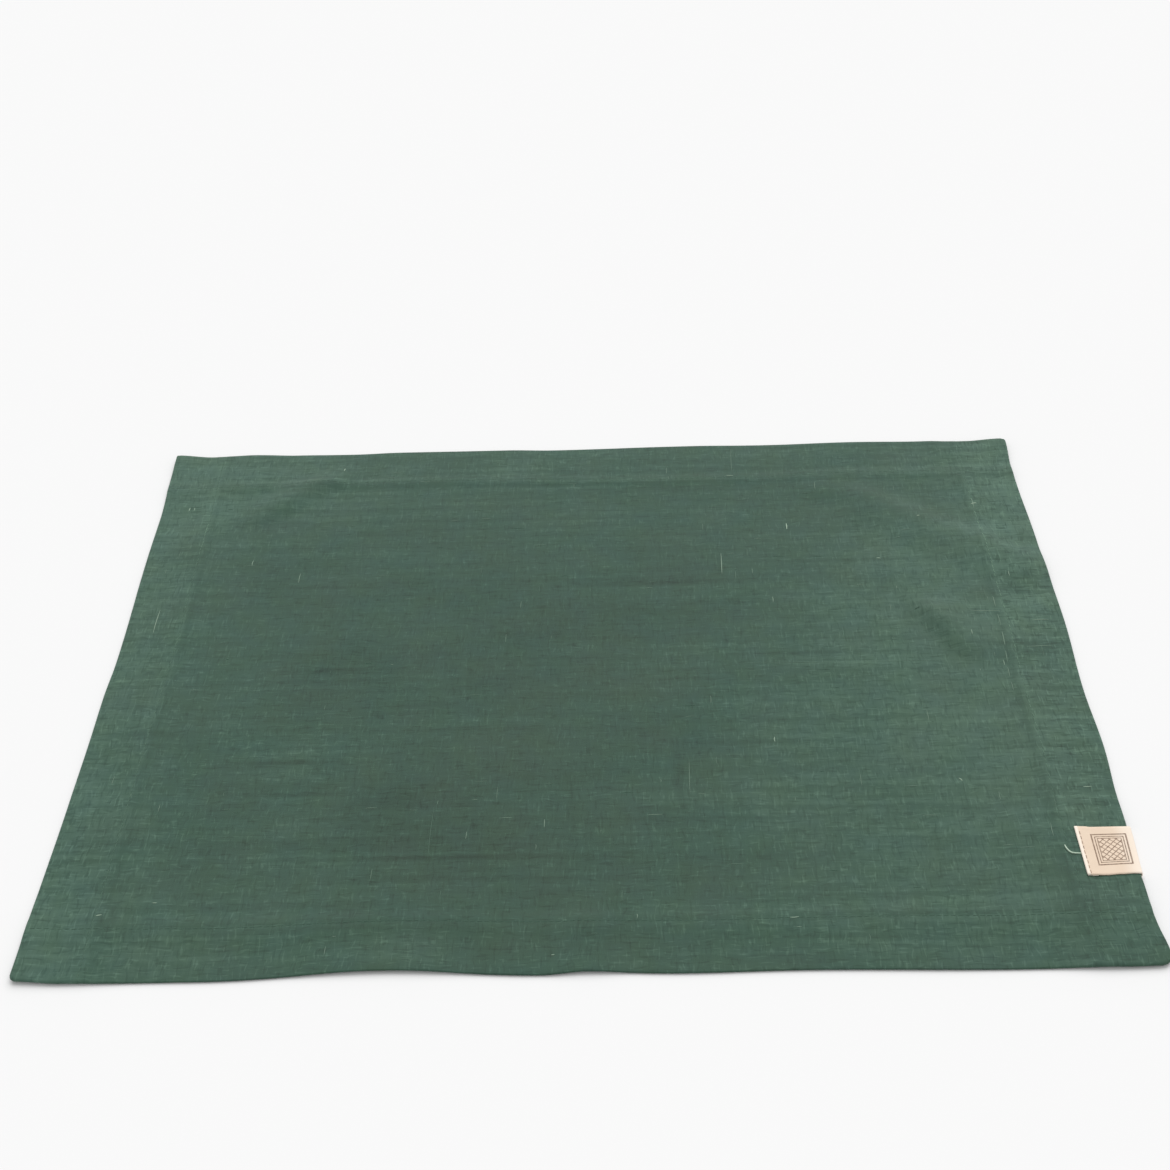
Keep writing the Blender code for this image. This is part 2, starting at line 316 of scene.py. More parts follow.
def foldOver(lines, half, wider, turnIn, unit, height, layers):
    # one folding of a stack that is unit thick, for a surface at a height within it. The face lies on
    # the given number of layers. Round the outer fold the height turns about the stack's foot, the
    # hem's underside lies upside down, the inner fold turns it back, and the raw edge lies upright.
    zone, value, side = lines["zone"], lines["value"], lines["side"]
    outerAxis, innerAxis = half - unit, half - matPlan["hem"] - wider + unit
    place = np.choose(zone, [
        value * side,
        outerAxis + height * np.sin(value),
        outerAxis + value * (innerAxis - outerAxis),
        innerAxis - height * np.sin(value),
        innerAxis + value * (turnIn - unit),
    ])
    level = np.choose(zone, [
        unit * layers + height,
        unit + height * np.cos(value),
        unit - height,
        unit - height * np.cos(value),
        unit + height,
    ])
    return place * side, level


def flatPlace(lines, half):
    # where each line lies on the cut cloth before it was hemmed
    zone, value, hem, bend = lines["zone"], lines["value"], matPlan["hem"], matPlan["bend"]
    away = np.choose(zone, [
        np.abs(value),
        half + bend * (value / np.pi - 0.5),
        half + value * hem,
        half + hem + bend * (value / np.pi - 0.5),
        half + hem + bend / 2 + value * (matPlan["turnIn"] - bend / 2),
    ])
    return away * lines["side"]


def clothSurface(across, along, face):
    # one side of the folded cloth, face = 1 for its right side and -1 for its back, as points on the
    # grid of lines: the short hems are folded first, then the long ones over them
    layer = matPlan["layer"]
    wide = {key: value[None, :] for key, value in across.items()}
    deep = {key: value[:, None] for key, value in along.items()}
    inLayer = layer / 2 * (1 + face * matPlan["fill"])
    flatX = np.clip(flatPlace(wide, halfWidth), -halfWidth, halfWidth)
    flatY = np.clip(flatPlace(deep, halfDepth), -halfDepth, halfDepth)
    onRight, onFar = wide["side"] > 0, deep["side"] > 0
    turnX, turnY = turnedIn("right", "left", onRight), turnedIn("far", "near", onFar)
    ofShort, _ = hemLayers(flatX, flatY)
    x, height = foldOver(wide, halfWidth, wideShort(onRight, flatY), turnX, layer, inLayer, ofShort)
    ofShort, ofLong = hemLayers(x, flatY)
    stack = layer * (1 + ofShort)
    y, level = foldOver(deep, halfDepth, wideLong(onFar, flatX), turnY, stack, height, ofLong)
    level = level / (1 + matPlan["squeeze"] * ofShort * np.where(deep["zone"] == 0, ofLong, 1))
    return onTable(x, y, level)


def onTable(x, y, level):
    # points of the flat rectangle, at a height over the cloth's underside, where they come to lie
    placedX, placedY = outlineAt(x, y)
    return np.stack([placedX, placedY, level + liftAt(x, y)], -1)


def faceAt(x, y):
    # the height of the cloth's right side over places on the flat rectangle, and where they lie
    ofShort, ofLong = hemLayers(x, y)
    level = matPlan["layer"] * (1 + ofShort) * (1 + ofLong) / (1 + matPlan["squeeze"] * ofShort * ofLong)
    return onTable(x, y, level)


def gridFaces(rows, columns, first=0, closed=False):
    # four-sided faces of a grid of points, row by row; closed joins the last column to the first
    row, column = np.meshgrid(np.arange(rows - 1), np.arange(columns - 1 + closed), indexing="ij")
    here, after = row * columns + column, row * columns + (column + 1) % columns
    return first + np.stack([here, after, after + columns, here + columns], -1).reshape(-1, 4)


def closeSheet(upper, lower):
    # the faces of a sheet from the grids of its two sides, upper before lower, and its rim between them
    rows, columns = upper.shape[:2]
    count = rows * columns
    rim = np.concatenate([
        np.arange(columns - 1),
        np.arange(rows - 1) * columns + columns - 1,
        (rows - 1) * columns + np.arange(columns - 1, 0, -1),
        np.arange(rows - 1, 0, -1) * columns,
    ])
    after = np.roll(rim, -1)
    sides = np.concatenate([gridFaces(rows, columns), gridFaces(rows, columns, count)[:, ::-1]])
    points = np.concatenate([upper.reshape(-1, 3), lower.reshape(-1, 3)])
    return points, np.concatenate([sides, np.stack([rim + count, after + count, after, rim], -1)])


def threadTubes(paths, halfWidths, halfHeights, around=6):
    # many threads at once: an oval ring about each point of each path, and a cap at both ends
    ahead = np.gradient(paths, axis=1)
    ahead = ahead / np.linalg.norm(ahead, axis=-1, keepdims=True)
    sideways = np.cross((0, 0, 1), ahead)
    sideways = sideways / np.linalg.norm(sideways, axis=-1, keepdims=True)
    turn = 2 * np.pi * np.arange(around)[:, None] / around
    wide = halfWidths[..., None, None] * np.cos(turn) * sideways[:, :, None]
    high = halfHeights[..., None, None] * np.sin(turn) * np.cross(ahead, sideways)[:, :, None]
    threads, count = paths.shape[:2]
    first = (np.arange(threads) * count * around)[:, None, None]
    sides = (gridFaces(count, around, closed=True) + first).reshape(-1, 4)
    ends = np.stack([np.arange(around)[::-1], (count - 1) * around + np.arange(around)]) + first
    points = (paths[:, :, None] + wide + high).reshape(-1, 3)
    return points, sides.tolist() + ends.reshape(-1, around).tolist()


def addObject(name, data):
    thing = bpy.data.objects.new(name, data)
    bpy.context.scene.collection.objects.link(thing)
    return thing


def makePiece(name, points, faces, material, uv=None, shares=None):
    # a mesh object from points in millimetres round the mat's middle; uv and shares are one for each point
    mesh = bpy.data.meshes.new(name)
    placed = (np.reshape(points, (-1, 3)) + (middleX, middleY, 0)) / metre
    mesh.from_pydata(placed.tolist(), [], [list(face) for face in faces])
    if uv is not None:
        corner = np.zeros(len(mesh.loops), int)
        mesh.loops.foreach_get("vertex_index", corner)
        places = np.reshape(uv, (-1, 2))[corner].astype(np.float32)
        mesh.uv_layers.new(name="cloth").data.foreach_set("uv", places.ravel())
    for key, values in (shares or {}).items():
        attribute = mesh.attributes.new(key, "FLOAT", "POINT")
        attribute.data.foreach_set("value", np.ravel(values).astype(np.float32))
    mesh.shade_smooth()
    mesh.materials.append(material)
    return addObject(name, mesh)


def makeThreads(name, material, paths, halfWidths, halfHeights, pale, around=6):
    # a piece of many threads, with a share of paleness for each thread or for each of its rings
    points, faces = threadTubes(paths, halfWidths, halfHeights, around)
    pale = np.repeat(np.broadcast_to(pale, paths.shape[:2]), around)
    return makePiece(name, points, faces, material, None, {"pale": pale})


def fillInputs(node, inputs):
    # gives a node's inputs their values, or links them to other nodes' outputs
    for key, value in inputs.items():
        if isinstance(value, bpy.types.Node):
            value = value.outputs[0]
        if isinstance(value, bpy.types.NodeSocket):
            node.id_data.links.new(value, node.inputs[key])
        else:
            node.inputs[key].default_value = value


def addNode(tree, kind, *inputs, **settings):
    # adds a node: its kind and operation, its inputs in their order or in a dictionary, and its settings
    kind, _, operation = kind.partition(" ")
    node = tree.nodes.new("ShaderNode" + kind)
    if operation:
        node.operation = operation
    for key, value in settings.items():
        setattr(node, key, value)
    named = inputs and isinstance(inputs[0], dict)
    fillInputs(node, inputs[0] if named else dict(enumerate(inputs)))
    return node


def startMaterial(name):
    # a new material, its shader, and what adds a node to it
    material = bpy.data.materials.new(name)
    material.use_nodes = True
    tree = material.node_tree
    return material, tree.nodes["Principled BSDF"], partial(addNode, tree)


# linen: piece-dyed plain weave. The eye sees a matt dark green whose uneven yarns leave short lighter
# and darker dashes both ways, with broad patches where the dye took more or less, and painted light and shade
# from the mesh's patches and hems
linenPlan = {
    "deep": "#24392f",
    "middle": "#365245",
    "light": "#557262",
    "warm": "#4b4f3e",
    "pitch": 0.8,  # yarn spacing in mm; the real one is about 0.6, drawn a little coarser to show
    "slub": 12.0,  # mm along a yarn before its thickness changes
    "yarnShift": 7.31,  # between two yarns' places in the noise
    "stray": 1.8,  # how far the yarns run off straight, in mm
    "strayPitch": 9,
    "crossing": 0.15,  # how softly warp and weft change places
    "yarnTone": 0.05,
    "dashEdge": 0.12,
    "apart": (17.3, 9.7),  # between two grains' places in the noise
    "hueTurn": 0.013,  # how unevenly the dye's two parts, blue and yellow, took
    "huePitch": 15,
    "relief": 0.08,
    "thickYarns": 0.8,  # how much of it comes from their thickness
    "bump": 0.00012,
}

# unevenness of the yarns in the linen's colour: size in mm across and along the mat, and how strong
linenGrains = rowsOf(
    "x y tone",
    (1.1, 8, 0.08),  # thick places in warp yarns
    (9, 1.1, 0.09),  # thick places in weft yarns
    (2.4, 30, 0.11),  # streaks of a few warp yarns
    (55, 2.4, 0.15),  # streaks of a few weft yarns
    (170, 3.6, 0.22),  # bars of weft from another bobbin
    (8, 5, 0.09),  # mottled dye
    (30, 18, 0.13),  # cloudy dye
)
# sparse dashes where a yarn is thin and lets the shade through (-), a painted shade, or bulges up (+), a
# painted highlight, and how much of the noise lies below them
linenDashes = rowsOf(
    "x y above tone",
    (1.2, 6, 0.62, -0.13),  # gaps along the warp
    (8, 1.2, 0.62, -0.15),  # gaps along the weft
    (1.0, 6, 0.64, 0.155),  # nubs along the warp
    (6, 1.0, 0.65, 0.155),  # nubs along the weft
)
# single stretches of yarn that stand out: middle, half their size both ways, how deep (-) or light (+)
yarnBars = rowsOf(
    "x y halfX halfY tone",
    (-128, 61.5, 60, 2.8, -0.17), (40, 60.4, 66, 3.5, -0.18), (-108, 103.8, 36, 3.2, -0.16),
    (100, 7, 44, 2.4, -0.22), (-118, 1, 22, 2.8, -0.17), (-40, -11, 30, 2.0, -0.14),
    (-198, -39.8, 30, 3.3, -0.18), (-40, -33.5, 38, 3.4, 0.14), (-165, -33, 13, 3.2, 0.12),
    (-134, -58.8, 36, 2.8, -0.21), (76, -51.4, 44, 2.5, -0.15), (-130, -78, 46, 2.8, -0.25),
    (-60, -115, 100, 2.4, -0.19), (-205, -114.2, 28, 2.6, -0.12), (40, -73, 3.2, 20, -0.13),
    (120, 0, 56, 1.4, 0.14),
)


def linenMaterial():
    material, shader, add = startMaterial("pieceDyedLinen")
    plan = linenPlan
    uv = add("UVMap", uv_map="cloth")
    flat = {"noise_dimensions": "2D"}
    stray = add("TexNoise", {"Vector": uv, "Scale": 1 / plan["strayPitch"], "Detail": 1.0}, **flat)
    centred = add("VectorMath SUBTRACT", stray.outputs["Color"], (0.5, 0.5, 0.5))
    shift = add("VectorMath SCALE", {0: centred, "Scale": plan["stray"]})
    place = add("VectorMath ADD", uv, shift)
    yarns = add("VectorMath SCALE", {0: place, "Scale": 1 / plan["pitch"]})
    split = add("SeparateXYZ", yarns)
    tones, rounds = {}, {}
    for key, own, other in (("warp", "X", "Y"), ("weft", "Y", "X")):
        number = add("Math FLOOR", split.outputs[own])
        spread = add("Math MULTIPLY", number, plan["yarnShift"])
        perSlub = plan["pitch"] / plan["slub"]
        run = add("Math MULTIPLY", split.outputs[other], perSlub)
        yarnPlace = add("CombineXYZ", spread, run)
        ofYarn = {"Vector": yarnPlace, "Scale": 1.0, "Detail": 2.0, "Roughness": 0.6}
        tones[key] = add("TexNoise", ofYarn, **flat)
        turn = add("Math MULTIPLY", split.outputs[own], np.pi)
        rounds[key] = add("Math SINE", turn)
    # where the two sines' product is above zero the warp lies on top, and below it the weft
    overUnder = add("Math MULTIPLY", rounds["warp"], rounds["weft"])
    smooth = {"interpolation_type": "SMOOTHSTEP"}
    crossing = {"Value": overUnder, "From Min": -plan["crossing"], "From Max": plan["crossing"]}
    onTop = add("MapRange", crossing, **smooth)
    tone = add("Mix", {0: onTop, 2: tones["weft"], 3: tones["warp"]}, data_type="FLOAT")
    toneShare = add("MapRange", {"Value": tone, "From Min": 0.25, "From Max": 0.75})
    shade = add("Math MULTIPLY", toneShare, plan["yarnTone"])
    for number, grain in enumerate(linenGrains + linenDashes):
        apart = tuple(number * step for step in plan["apart"]) + (0,)
        spot = add("VectorMath MULTIPLY_ADD", place, (1 / grain["x"], 1 / grain["y"], 0), apart)
        noise = add("TexNoise", {"Vector": spot, "Scale": 1.0, "Detail": 0.7, "Roughness": 0.5}, **flat)
        if "above" in grain:
            edge = {"Value": noise, "From Min": grain["above"], "From Max": grain["above"] + plan["dashEdge"]}
            level = add("MapRange", edge, **smooth)
        else:
            level = add("Math SUBTRACT", noise, 0.5)
        shade = add("Math MULTIPLY_ADD", level, grain["tone"], shade)
    # the yarns show more on the hems, and all this lies over the patches of uneven dye and painted light and
    # shade
    patches = add("Attribute", attribute_name="dyeAndShade").outputs["Fac"]
    coarse = add("Attribute", attribute_name="coarse").outputs["Fac"]
    shade = add("Math MULTIPLY_ADD", shade, coarse, patches)
    for bar in yarnBars:
        scale = (1 / bar["halfX"], 1 / bar["halfY"], 0)
        middle = (-bar["x"] * scale[0], -bar["y"] * scale[1], 0)
        fromBar = add("VectorMath MULTIPLY_ADD", uv, scale, middle)
        away = add("VectorMath LENGTH", fromBar).outputs["Value"]
        strength = add("MapRange", {"Value": away, "To Min": 1.0, "To Max": 0.0}, **smooth)
        shade = add("Math MULTIPLY_ADD", strength, bar["tone"], shade)
    ramp = add("ValToRGB", shade)
    ramp.color_ramp.elements[0].color = linearColour(plan["deep"])
    ramp.color_ramp.elements[1].color = linearColour(plan["light"])
    ramp.color_ramp.elements.new(0.5).color = linearColour(plan["middle"])
    warmth = add("Attribute", attribute_name="warmth").outputs["Fac"]
    colour = add("Mix", {0: warmth, 6: ramp, 7: linearColour(plan["warm"])}, data_type="RGBA")
    ofDye = {"Vector": uv, "Scale": 1 / plan["huePitch"], "Detail": 2.0, "Roughness": 0.55}
    fromNoise = {"Value": add("TexNoise", ofDye, **flat), "From Min": 0.25, "From Max": 0.75}
    toHue = {"To Min": 0.5 - plan["hueTurn"], "To Max": 0.5 + plan["hueTurn"]}
    dyed = add("HueSaturation", {"Hue": add("MapRange", fromNoise | toHue), "Color": colour.outputs[2]})
    height = add("Math ABSOLUTE", overUnder)
    thick = add("Math MULTIPLY_ADD", toneShare, plan["thickYarns"], height)
    bump = add("Bump", {"Strength": plan["relief"], "Distance": plan["bump"], "Height": thick})
    fillInputs(shader, {"Base Color": dyed, "Normal": bump, "Roughness": 0.82, "Specular IOR Level": 0.25})
    fillInputs(shader, {"Sheen Weight": 0.12, "Sheen Roughness": 0.5})
    return material


# sewing thread and thick fibres: spun, matt. A point's "pale" share goes from the first colour to the second
threadColours = {
    "greenSewingThread": ("#3c5749", "#7d9c86"),
    "palerSlubFibre": ("#3c584a", "#a3b8a4"),
    "brownSewingThread": ("#6b5142", "#b79d87"),
    "mintThreadEnd": ("#9fb5a2", "#b9cbb8"),
}


def threadMaterial(name):
    material, shader, add = startMaterial(name)
    pale = add("Attribute", attribute_name="pale").outputs["Fac"]
    first, second = (linearColour(colour) for colour in threadColours[name])
    colour = add("Mix", {0: pale, 6: first, 7: second}, data_type="RGBA").outputs[2]
    fillInputs(shader, {"Base Color": colour, "Roughness": 0.75, "Specular IOR Level": 0.3})
    return material


# ribbon: woven cotton tape with a printed pattern. The eye sees a soft cream band with a fine twill and
# thin brown lines, a lattice of diamonds inside a double frame
ribbonPlan = {
    "cream": "#e5d2bd",
    "deeper": "#d9c3ad",
    # the pale cream of a painted highlight, at the folded end and the bend
    "paintedHighlight": "#fbf3e8",
    "ink": "#6f5645",
    "twill": 0.45,  # mm between its slanting ribs
    "printU": 12.9,  # the print's middle, from the folded end
    "printV": 0.5,
    "halfWide": 7.0,
    "halfHigh": 8.2,
    "frame": ((0.0, 0.34), (-1.25, 0.24), (-2.2, 0.2)),  # its lines: how far out (+), and half their width
    "latticeFrom": -2.2,
    "diamond": 2.7,  # mm across a diamond, measured along the slanting lines' spacing
    "latticeLine": 0.29,
    "highlightAtEnd": (1.4, 0.9),  # from the folded end, in mm
    "highlightAtBend": (15.0, 24.0),
    "highlightStrength": 0.6,
    "relief": 0.00008,
}


def ribbonMaterial():
    material, shader, add = startMaterial("printedCottonTape")
    plan = ribbonPlan
    uv = add("UVMap", uv_map="cloth")
    plain = add("SeparateXYZ", uv)
    fromMiddle = add("VectorMath SUBTRACT", uv, (plan["printU"], plan["printV"], 0))
    split = add("SeparateXYZ", fromMiddle)
    away = add("VectorMath ABSOLUTE", fromMiddle)
    halves = (plan["halfWide"], plan["halfHigh"], 0)
    past = add("SeparateXYZ", add("VectorMath SUBTRACT", away, halves))
    # how far outside the frame a place lies, below zero inside it
    outside = add("Math MAXIMUM", past.outputs["X"], past.outputs["Y"])
    within = add("Math LESS_THAN", outside, plan["latticeFrom"])
    strokes = [add("Math COMPARE", outside, line, half) for line, half in plan["frame"]]
    for operation in ("ADD", "SUBTRACT"):
        slant = add("Math " + operation, split.outputs["X"], split.outputs["Y"])
        fold = add("Math PINGPONG", slant, plan["diamond"] / 2)
        stroke = add("Math LESS_THAN", fold, plan["latticeLine"])
        strokes.append(add("Math MULTIPLY", stroke, within))
    ink = strokes[0]
    for stroke in strokes[1:]:
        ink = add("Math MAXIMUM", ink, stroke)
    blotch = add("TexNoise", {"Vector": uv, "Scale": 0.9, "Detail": 3.0})
    uneven = {"Value": blotch, "From Min": 0.3, "From Max": 0.7, "To Min": 0.55, "To Max": 0.95}
    inked = add("Math MULTIPLY", ink, add("MapRange", uneven))
    cloudy = add("TexNoise", {"Vector": uv, "Scale": 0.12, "Detail": 2.0})
    # painted highlight: lighter at the folded end and towards the bend, where light catches the ribbon's
    # rounding
    highlightRamps = []
    for key in ("highlightAtEnd", "highlightAtBend"):
        start, full = plan[key]
        highlightRamps.append(add("MapRange", {"Value": plain.outputs["X"], "From Min": start, "From Max": full}))
    paintedHighlight = add("Math MAXIMUM", highlightRamps[0], highlightRamps[1])
    paintedHighlight = add("Math MULTIPLY", paintedHighlight, plan["highlightStrength"])
    colour = linearColour(plan["deeper"])
    for share, key in ((cloudy, "cream"), (paintedHighlight, "paintedHighlight"), (inked, "ink")):
        colour = add("Mix", {0: share, 6: colour, 7: linearColour(plan[key])}, data_type="RGBA").outputs[2]
    rib = add("Math ADD", plain.outputs["X"], plain.outputs["Y"])
    turn = add("Math MULTIPLY", rib, 2 * np.pi / plan["twill"])
    wave = add("Math SINE", turn)
    bump = add("Bump", {"Strength": 0.25, "Distance": plan["relief"], "Height": wave})
    fillInputs(shader, {"Base Color": colour, "Normal": bump, "Roughness": 0.8, "Specular IOR Level": 0.25})
    return material


# patches on the face, part uneven dye and part painted light and shade: middle, reach both ways, turn in
# degrees, how much lighter (+) or deeper (-)
# painted light: lighter towards the edges and far corners; painted shade: darker in the middle, with thin
# dark bands along the far hem's crease and down the folds' flanks; painted highlights: thin light bands on
# the hems' ridges
dyeAndShadePatches = rowsOf(
    "x y reachX reachY turn tone",
    (-226, 0, 60, 300, 0, 0.17), (226, 20, 140, 300, 0, 0.18), (-30, 185, 280, 62, 0, 0.05),
    (-228, 178, 140, 80, 0, 0.18), (-150, 125, 150, 80, 0, 0.09), (90, 178, 70, 50, 0, 0.06),
    (228, 130, 60, 100, 0, 0.16), (160, 88, 70, 44, 0, 0.07), (-70, 20, 190, 130, -12, -0.12),
    (-20, -112, 130, 80, 0, -0.10), (-78, -86, 90, 50, 0, -0.09), (45, 90, 100, 60, 0, -0.06),
    (130, -50, 95, 180, 0, 0.10), (0, -172, 330, 40, 0, 0.03), (-215, -160, 90, 70, 0, 0.10),
    (-110, 146, 62, 5, 0, -0.09), (-115, 154, 60, 7, 0, -0.05), (-185, 145, 45, 4.5, 0, -0.10),
    (-194, 127, 17, 16, -25, 0.07), (-218, 138, 9, 20, 0, -0.06), (-218, 112, 12, 18, 0, -0.05),
    (-207, 87, 26, 9, 0, -0.09), (213, 12, 14, 9, 0, -0.05), (-152, 137, 16, 6, 42, -0.06),
    (-166, 118, 12, 8, 45, -0.06), (-194, -125, 6, 60, 0, -0.06), (196, -82, 7, 40, 0, -0.08),
    (197, -150, 8, 28, 0, -0.07), (174, -78, 14, 30, 0, 0.04), (170, -141, 70, 7, 0, 0.05),
    (148, 161, 28, 9, 0, -0.07), (160, 152.5, 60, 5, 0, -0.04), (165, 123, 15, 10, -40, 0.06),
    (-110, -144.5, 120, 5, 0, 0.06), (-110, -153.5, 120, 5, 0, -0.06), (150, 145, 60, 5, 0, 0.07),
    (200, 99, 12, 8, 0, -0.05), (192, 44, 48, 7, 0, -0.08),
)
warmPatches = rowsOf(
    "x y reachX reachY turn tone",
    (-20, -40, 190, 60, 35, 0.06),
    (0, -140, 330, 120, 0, 0.07),
    (190, 0, 120, 260, 0, 0.06),
    (22, -6, 45, 25, 0, 0.05),
)
# how a hem shows on the short and on the long sides: the seam's ridge is lighter, partly wear and partly
# painted highlight, and the crease along its inner fold is darker, a painted shade
hemWearAndShade = {
    "ridge": (0.05, 0.03),
    "ridgeWidth": 1.6,
    "crease": (-0.06, -0.01),
    "creaseWidth": 1.6,
    "creaseInside": 0.9,  # of the fold
    "patchy": 0.6,
    "patchPitch": 22,
}
# what lies under the patches, each with a slow unevenness: share, how uneven, its pitch in mm and its seed
faceTones = {"dyeAndShade": (0.445, 0.04, 40, 11), "warmth": (0.04, 0.05, 16, 13)}
# how strongly the yarns show: in the middle, less for each mm towards the far side, and more on the hems
coarseness = {
    "middle": 0.95,
    "perMm": 0.0006,
    "nearHem": 0.02,
    "farAndLeftHem": 0.15,
    "rightHem": (0.2, 0.5),  # at its near corner, and from the label on
    "rightHemGrows": (-140, 60),  # from where, and over how much
    "fade": 3,
}


def patchSum(patches, x, y):
    # hills on an oval base: each patch fades from its middle to nothing at its reach
    total = np.zeros(np.broadcast(x, y).shape)
    for patch in patches:
        along, across = turnedPlace(patch, x, y)
        fade = ease(np.hypot(along / patch["reachX"], across / patch["reachY"]))
        total = total + patch["tone"] * (1 - fade)
    return total


def hemTone(x, y):
    # two bands along each hem, each a bell across it, coming and going along it
    total = np.zeros(np.broadcast(x, y).shape)
    for kind, half, place, along, wider in (
        (0, halfWidth, x, y, wideShort(x > 0, y)),
        (1, halfDepth, y, x, wideLong(y > 0, x)),
    ):
        fromFold = half - np.abs(place) - matPlan["hem"] - wider
        patchy = 1 + hemWearAndShade["patchy"] * smoothNoise(along, place, hemWearAndShade["patchPitch"], 21)
        # the ridge's band is wear with a painted highlight; the crease's band is painted shade
        ridge = bell(fromFold + matPlan["stitchInset"], hemWearAndShade["ridgeWidth"])
        crease = bell(fromFold - hemWearAndShade["creaseInside"], hemWearAndShade["creaseWidth"])
        total = total + patchy * (hemWearAndShade["ridge"][kind] * ridge + hemWearAndShade["crease"][kind] * crease)
    return total


def evenTone(key, x, y):
    share, uneven, pitch, seed = faceTones[key]
    return share + uneven * smoothNoise(x, y, pitch, seed)


def yarnStrength(flatX, flatY):
    # how strongly the yarns show at a place of the flat cloth
    pastFold = np.maximum(np.abs(flatX) - halfWidth, np.abs(flatY) - halfDepth) + matPlan["hem"]
    (least, most), (start, reach) = coarseness["rightHem"], coarseness["rightHemGrows"]
    ofRight = least + (most - least) * ease((flatY - start) / reach)
    more = np.where(flatY < matPlan["hem"] - halfDepth, coarseness["nearHem"], coarseness["farAndLeftHem"])
    more = np.where(flatX > halfWidth - matPlan["hem"], ofRight, more)
    return coarseness["middle"] - coarseness["perMm"] * flatY + ease(pastFold / coarseness["fade"]) * more


def makeMat(material):
    across, along = clothLines(halfWidth), clothLines(halfDepth)
    faceSide = clothSurface(across, along, 1)
    points, faces = closeSheet(faceSide, clothSurface(across, along, -1))
    flatX, flatY = np.meshgrid(flatPlace(across, halfWidth), flatPlace(along, halfDepth))
    uv = np.tile(np.stack([flatX, flatY], -1).reshape(-1, 2), (2, 1))
    x, y = faceSide[..., 0], faceSide[..., 1]
    # the face's tone: uneven dye, with painted light and shade from the patches and painted shade and
    # highlights along the hems
    dyeAndShade = evenTone("dyeAndShade", x, y) + patchSum(dyeAndShadePatches, x, y) + hemTone(flatX, flatY)
    warmth = np.clip(evenTone("warmth", x, y) + patchSum(warmPatches, x, y), 0, 1)
    shares = {"dyeAndShade": dyeAndShade, "warmth": warmth, "coarse": yarnStrength(flatX, flatY)}
    shares = {key: np.tile(share.ravel(), 2) for key, share in shares.items()}
    return makePiece("linenMat", points, faces, material, uv, shares)


# how pale the seam's thread looks: place along each hem, and share
seamPale = {
    "far": ((-225, 0.30), (-120, 0.16), (225, 0.22)),
    "near": ((-225, 0.03), (225, 0.05)),
    "left": ((-175, 0.14), (60, 0.20), (110, 0.42), (140, 0.12), (175, 0.10)),
    "right": (
        (-175, 0.04), (-100, 0.06), (-60, 0.30), (0, 0.40), (115, 0.52), (140, 0.20), (175, 0.12),
    ),
}
seamPlan = {
    "stitch": 2.5,
    "gap": 0.35,
    "halfWidth": 0.17,
    "halfHeight": 0.10,
    "rise": 0.02,  # of a stitch's middle above the cloth
    "dip": 0.14,  # of its ends into it
    "slant": 0.10,
    "sway": 0.07,
    "underside": 0.055,  # height of the lower stitches' middles above the cloth's lowest threads
    "cornerRoom": 1.6,  # from the last stitch to the edge
    "lowerRoom": 2.5,  # and to the long hem that covers the short ones' underside
    "uneven": (0.4, 1.4),  # paleness of single stitches
}
# along one stitch from -1 to 1: where its rings stand, and how thick they are
stitchRings = np.array([-1, -0.8, -0.3, 0.3, 0.8, 1])
stitchThickness = np.array([0.3, 0.85, 1, 1, 0.85, 0.3])


def hemSeams(random):
    # the seam along every hem, on the face and on the underside, as short paths, and how pale each is
    plan, paths, pale = seamPlan, [], []
    pitch = plan["stitch"] + plan["gap"]
    for name, table, side, long in (
        ("far", farHem, 1, True), ("near", nearHem, -1, True),
        ("left", leftHem, -1, False), ("right", rightHem, 1, False),
    ):
        alongHalf, acrossHalf = (halfWidth, halfDepth) if long else (halfDepth, halfWidth)
        for upper in (True, False):
            reach = alongHalf - (plan["cornerRoom"] if upper or long else matPlan["hem"] + plan["lowerRoom"])
            middle = np.arange(-reach + pitch / 2, reach - pitch / 2, pitch)[:, None]
            along = middle + stitchRings * plan["stitch"] / 2
            inwards = matPlan["hem"] + tableAt(table, along) - matPlan["stitchInset"]
            sway = random.normal(0, plan["sway"], middle.shape) + plan["slant"] * stitchRings
            away = side * (acrossHalf - inwards - sway)
            x, y = (along, away) if long else (away, along)
            place = faceAt(x, y)
            if upper:
                place[..., 2] = place[..., 2] + plan["rise"] - plan["dip"] * (1 - stitchThickness)
            else:
                place[..., 2] = liftAt(x, y) + plan["underside"]
            paths.append(place)
            pale.append(tableAt(seamPale[name], middle) * random.uniform(*plan["uneven"], middle.shape))
    return np.concatenate(paths), np.concatenate(pale)


def makeSeams(material, random):
    paths, pale = hemSeams(random)
    wide, high = seamPlan["halfWidth"] * stitchThickness, seamPlan["halfHeight"] * stitchThickness
    return makeThreads("hemStitches", material, paths, wide, high, pale)


def smoothPath(rows, count):
    # a Catmull-Rom curve through the rows, with count points: each span is a cubic whose slope at a row
    # is half the step between that row's neighbours
    rows = np.array(rows, float)
    rows = np.concatenate([2 * rows[:1] - rows[1:2], rows, 2 * rows[-1:] - rows[-2:-1]])
    at = np.linspace(0, len(rows) - 3, count)
    first = np.minimum(at.astype(int), len(rows) - 4)
    t = (at - first)[:, None]
    a, b, c, d = rows[first], rows[first + 1], rows[first + 2], rows[first + 3]
    return b + 0.5 * t * (c - a + t * (2 * a - 5 * b + 4 * c - d + t * (3 * (b - c) + d - a)))


